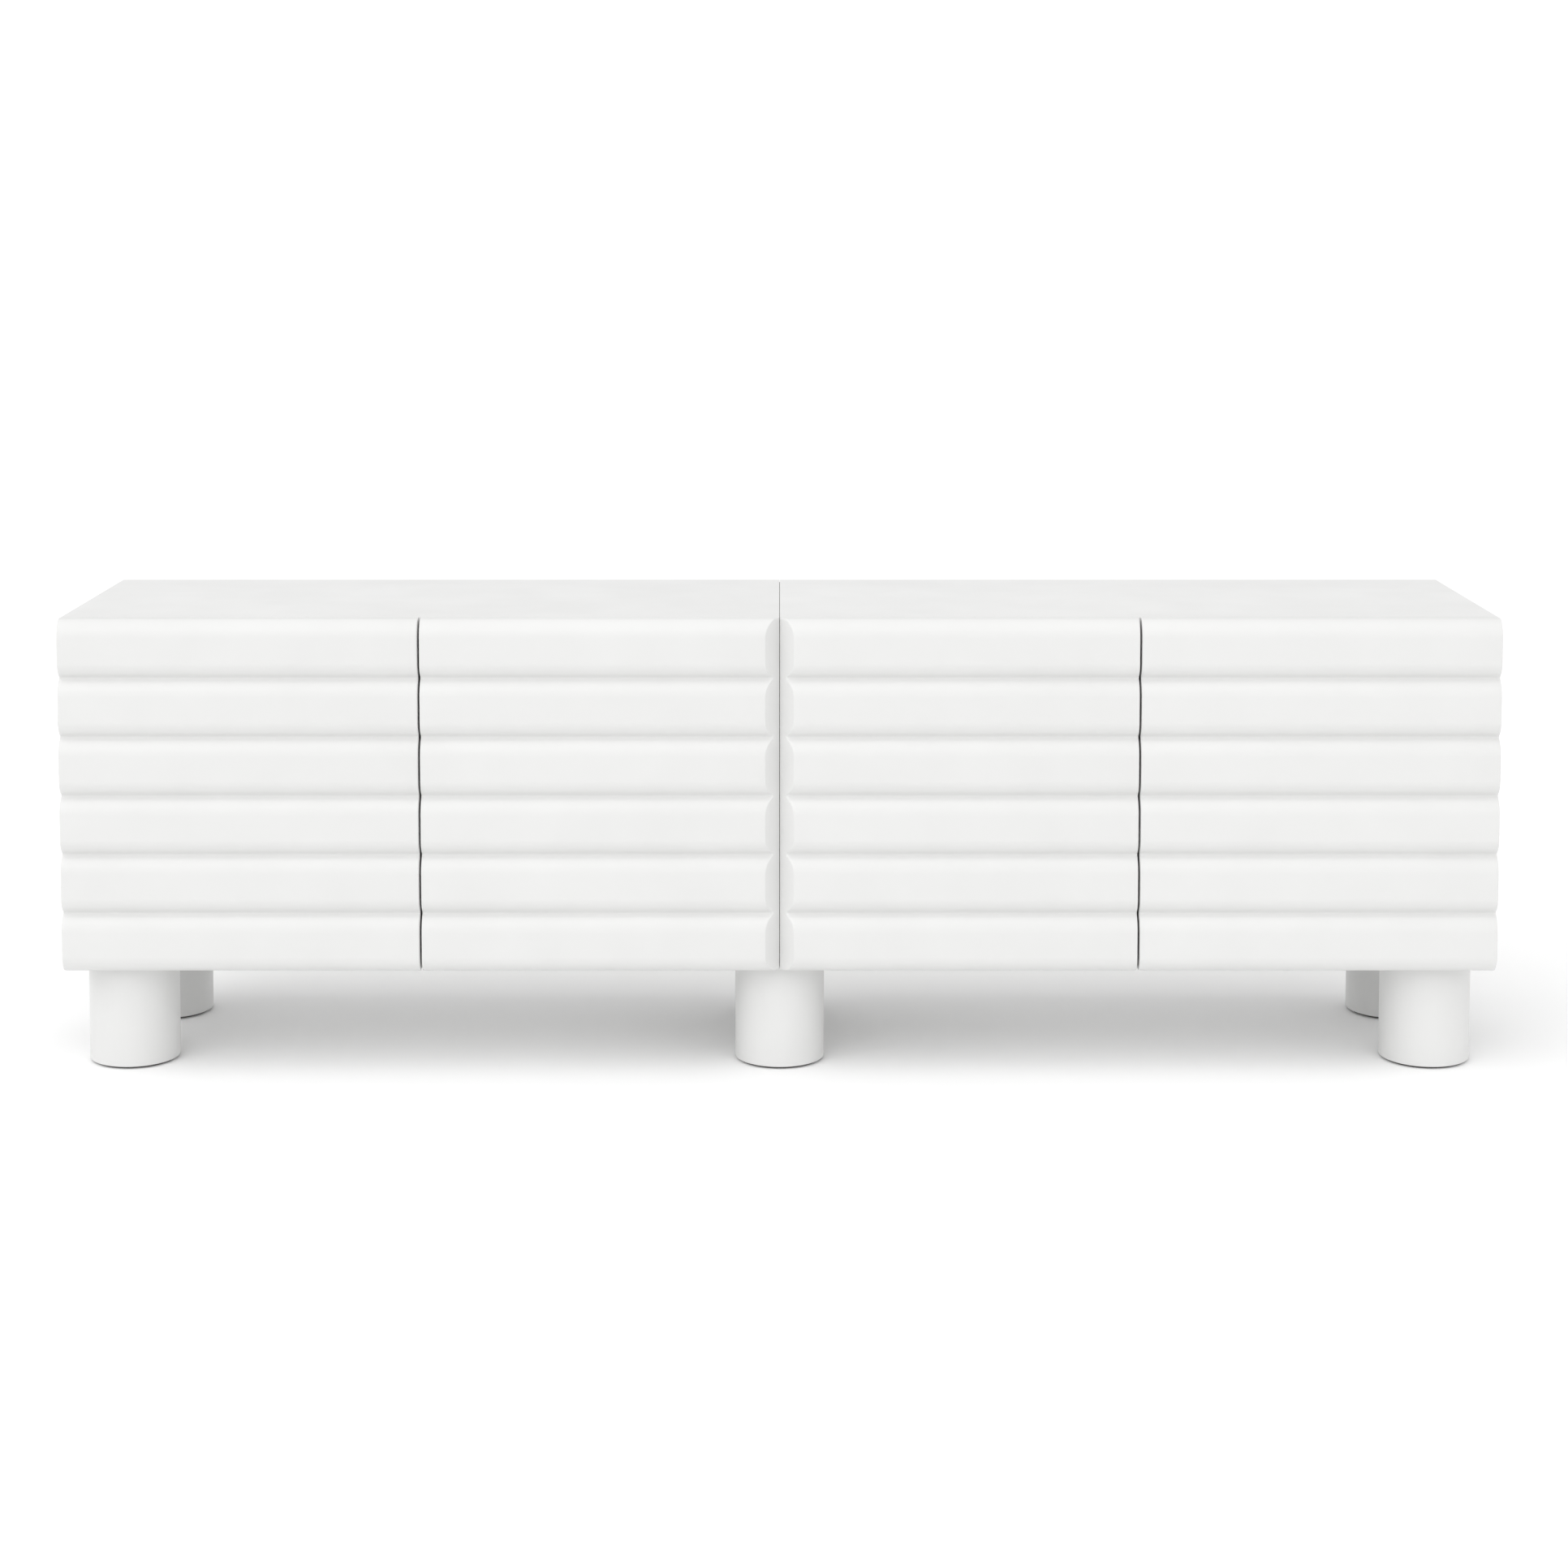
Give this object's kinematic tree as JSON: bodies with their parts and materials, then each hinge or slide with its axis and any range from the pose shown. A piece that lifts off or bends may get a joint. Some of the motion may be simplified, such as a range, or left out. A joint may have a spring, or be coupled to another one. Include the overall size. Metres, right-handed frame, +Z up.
{
  "type": "tv stand with doors",
  "caption": "Low, wide media cabinet with horizontally ribbed push-to-open doors on concealed hinges, adjustable shelves, cable outlets and thick cylindrical legs.",
  "frame": {"origin": "on the floor, at the middle of the footprint, under the seam between the cabinets", "axes": "+X to the right seen from the front, -Y out of the door fronts, +Y to the back, +Z up"},
  "size_m": [1.8, 0.375, 0.58],
  "materials": {
    "satin_lacquer": "white satin lacquer sprayed on MDF and turned wood",
    "white_melamine": "white melamine on particle board",
    "nickel_steel": "nickel-plated pressed steel",
    "zinc_steel": "bright zinc plate",
    "dark_steel": "dark steel",
    "grey_plastic": "moulded grey plastic",
    "white_plastic": "moulded white plastic",
    "grey_felt": "pressed wool felt",
    "beech_dowel": "plain beech"
  },
  "bodies": {
    "cabinet": {"top_panel_left": "satin_lacquer", "bottom_panel_left": "satin_lacquer", "outer_side_left": "satin_lacquer", "inner_side_left": "white_melamine", "back_panel_left": "white_melamine", "shelf_left": "white_melamine", "cable_grommet_left": "grey_plastic", "top_panel_right": "satin_lacquer", "bottom_panel_right": "satin_lacquer", "outer_side_right": "satin_lacquer", "inner_side_right": "white_melamine", "back_panel_right": "white_melamine", "shelf_right": "white_melamine", "cable_grommet_right": "grey_plastic", "leg_front_left": "satin_lacquer", "leg_front_middle": "satin_lacquer", "leg_front_right": "satin_lacquer", "leg_rear_left": "satin_lacquer", "leg_rear_middle": "satin_lacquer", "leg_rear_right": "satin_lacquer", "leg_glides": "grey_felt", "leg_plates": "dark_steel", "leg_bolts": "zinc_steel", "leg_plate_screws": "zinc_steel", "hinge_plates": "nickel_steel", "hinge_arms": "nickel_steel", "hinge_arm_pins": "dark_steel", "hinge_screws": "zinc_steel", "latch_housings": "grey_plastic", "latch_screws": "zinc_steel", "shelf_pins": "zinc_steel", "cabinet_connectors": "zinc_steel", "panel_dowels": "beech_dowel"},
    "links_outer_left": {"hinge_links_outer_left": "nickel_steel"},
    "door_outer_left": {"door_outer_left": "satin_lacquer", "hinge_cups_outer_left": "nickel_steel", "hinge_cup_pins_outer_left": "dark_steel", "strike_plate_outer_left": "zinc_steel"},
    "plunger_outer_left": {"latch_plunger_outer_left": "white_plastic"},
    "links_inner_left": {"hinge_links_inner_left": "nickel_steel"},
    "door_inner_left": {"door_inner_left": "satin_lacquer", "hinge_cups_inner_left": "nickel_steel", "hinge_cup_pins_inner_left": "dark_steel", "strike_plate_inner_left": "zinc_steel"},
    "plunger_inner_left": {"latch_plunger_inner_left": "white_plastic"},
    "links_inner_right": {"hinge_links_inner_right": "nickel_steel"},
    "door_inner_right": {"door_inner_right": "satin_lacquer", "hinge_cups_inner_right": "nickel_steel", "hinge_cup_pins_inner_right": "dark_steel", "strike_plate_inner_right": "zinc_steel"},
    "plunger_inner_right": {"latch_plunger_inner_right": "white_plastic"},
    "links_outer_right": {"hinge_links_outer_right": "nickel_steel"},
    "door_outer_right": {"door_outer_right": "satin_lacquer", "hinge_cups_outer_right": "nickel_steel", "hinge_cup_pins_outer_right": "dark_steel", "strike_plate_outer_right": "zinc_steel"},
    "plunger_outer_right": {"latch_plunger_outer_right": "white_plastic"}
  },
  "joints": [
    {"name": "hinge_links_outer_left_swing", "type": "hinge", "parent": "cabinet", "child": "links_outer_left", "pos_m": [-0.8655, -0.1592, 0.3545], "axis": [0, 0, 1], "range_deg": [0, 28.85]},
    {"name": "door_outer_left_swing", "type": "hinge", "parent": "links_outer_left", "child": "door_outer_left", "pos_m": [-0.8885, -0.1712, 0.3545], "axis": [0, 0, -1], "range_deg": [0, 118.8]},
    {"name": "latch_plunger_outer_left_slide", "type": "slide", "parent": "cabinet", "child": "plunger_outer_left", "axis": [0, -1, 0], "range_m": [0, 0.02]},
    {"name": "hinge_links_inner_left_swing", "type": "hinge", "parent": "cabinet", "child": "links_inner_left", "pos_m": [-0.0348, -0.1592, 0.3545], "axis": [0, 0, -1], "range_deg": [0, 28.85]},
    {"name": "door_inner_left_swing", "type": "hinge", "parent": "links_inner_left", "child": "door_inner_left", "pos_m": [-0.0118, -0.1712, 0.3545], "axis": [0, 0, 1], "range_deg": [0, 118.8]},
    {"name": "latch_plunger_inner_left_slide", "type": "slide", "parent": "cabinet", "child": "plunger_inner_left", "axis": [0, -1, 0], "range_m": [0, 0.02]},
    {"name": "hinge_links_inner_right_swing", "type": "hinge", "parent": "cabinet", "child": "links_inner_right", "pos_m": [0.0348, -0.1592, 0.3545], "axis": [0, 0, 1], "range_deg": [0, 28.85]},
    {"name": "door_inner_right_swing", "type": "hinge", "parent": "links_inner_right", "child": "door_inner_right", "pos_m": [0.0118, -0.1712, 0.3545], "axis": [0, 0, -1], "range_deg": [0, 118.8]},
    {"name": "latch_plunger_inner_right_slide", "type": "slide", "parent": "cabinet", "child": "plunger_inner_right", "axis": [0, -1, 0], "range_m": [0, 0.02]},
    {"name": "hinge_links_outer_right_swing", "type": "hinge", "parent": "cabinet", "child": "links_outer_right", "pos_m": [0.8655, -0.1592, 0.3545], "axis": [0, 0, -1], "range_deg": [0, 28.85]},
    {"name": "door_outer_right_swing", "type": "hinge", "parent": "links_outer_right", "child": "door_outer_right", "pos_m": [0.8885, -0.1712, 0.3545], "axis": [0, 0, 1], "range_deg": [0, 118.8]},
    {"name": "latch_plunger_outer_right_slide", "type": "slide", "parent": "cabinet", "child": "plunger_outer_right", "axis": [0, -1, 0], "range_m": [0, 0.02]}
  ],
  "couplings": [
    {"joint": "hinge_links_outer_left_swing", "follows": "door_outer_left_swing", "ratio": 0.24242},
    {"joint": "latch_plunger_outer_left_slide", "follows": "door_outer_left_swing", "m_per_rad": 0.0096},
    {"joint": "hinge_links_inner_left_swing", "follows": "door_inner_left_swing", "ratio": 0.24242},
    {"joint": "latch_plunger_inner_left_slide", "follows": "door_inner_left_swing", "m_per_rad": 0.0096},
    {"joint": "hinge_links_inner_right_swing", "follows": "door_inner_right_swing", "ratio": 0.24242},
    {"joint": "latch_plunger_inner_right_slide", "follows": "door_inner_right_swing", "m_per_rad": 0.0096},
    {"joint": "hinge_links_outer_right_swing", "follows": "door_outer_right_swing", "ratio": 0.24242},
    {"joint": "latch_plunger_outer_right_slide", "follows": "door_outer_right_swing", "m_per_rad": 0.0096}
  ]
}
